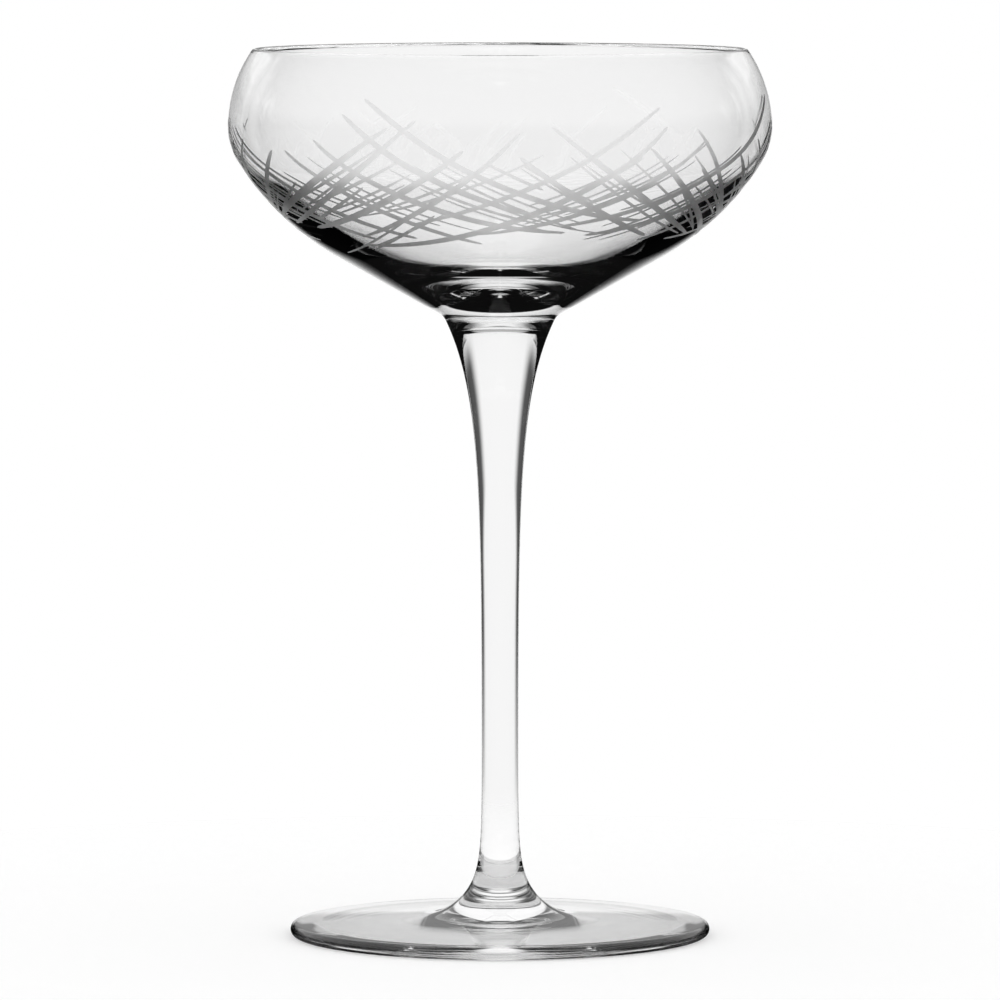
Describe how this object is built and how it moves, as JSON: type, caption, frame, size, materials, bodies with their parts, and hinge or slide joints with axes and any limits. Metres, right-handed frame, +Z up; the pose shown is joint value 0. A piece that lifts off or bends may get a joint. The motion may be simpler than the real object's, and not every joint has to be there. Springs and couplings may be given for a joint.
{
  "type": "coupe glass",
  "caption": "Clear stemmed coupe glass: shallow rounded bowl with a frosted cut crosshatch band, slim drawn stem and thin round foot, for serving drinks.",
  "frame": {"origin": "centre of the foot's standing ring, on the table", "axes": "+Z up the glass's axis of turning, from the foot to the mouth; X and Y lie in the table's plane"},
  "size_m": [0.102, 0.102, 0.167],
  "materials": {
    "bowl_glass": "clear, fire polished, with frosted wheel-cut strokes on the outside",
    "stem_glass": "clear, fire polished",
    "foot_glass": "clear, fire polished"
  },
  "bodies": {
    "root": {"bowl": "bowl_glass", "stem": "stem_glass", "foot": "foot_glass"}
  },
  "joints": []
}
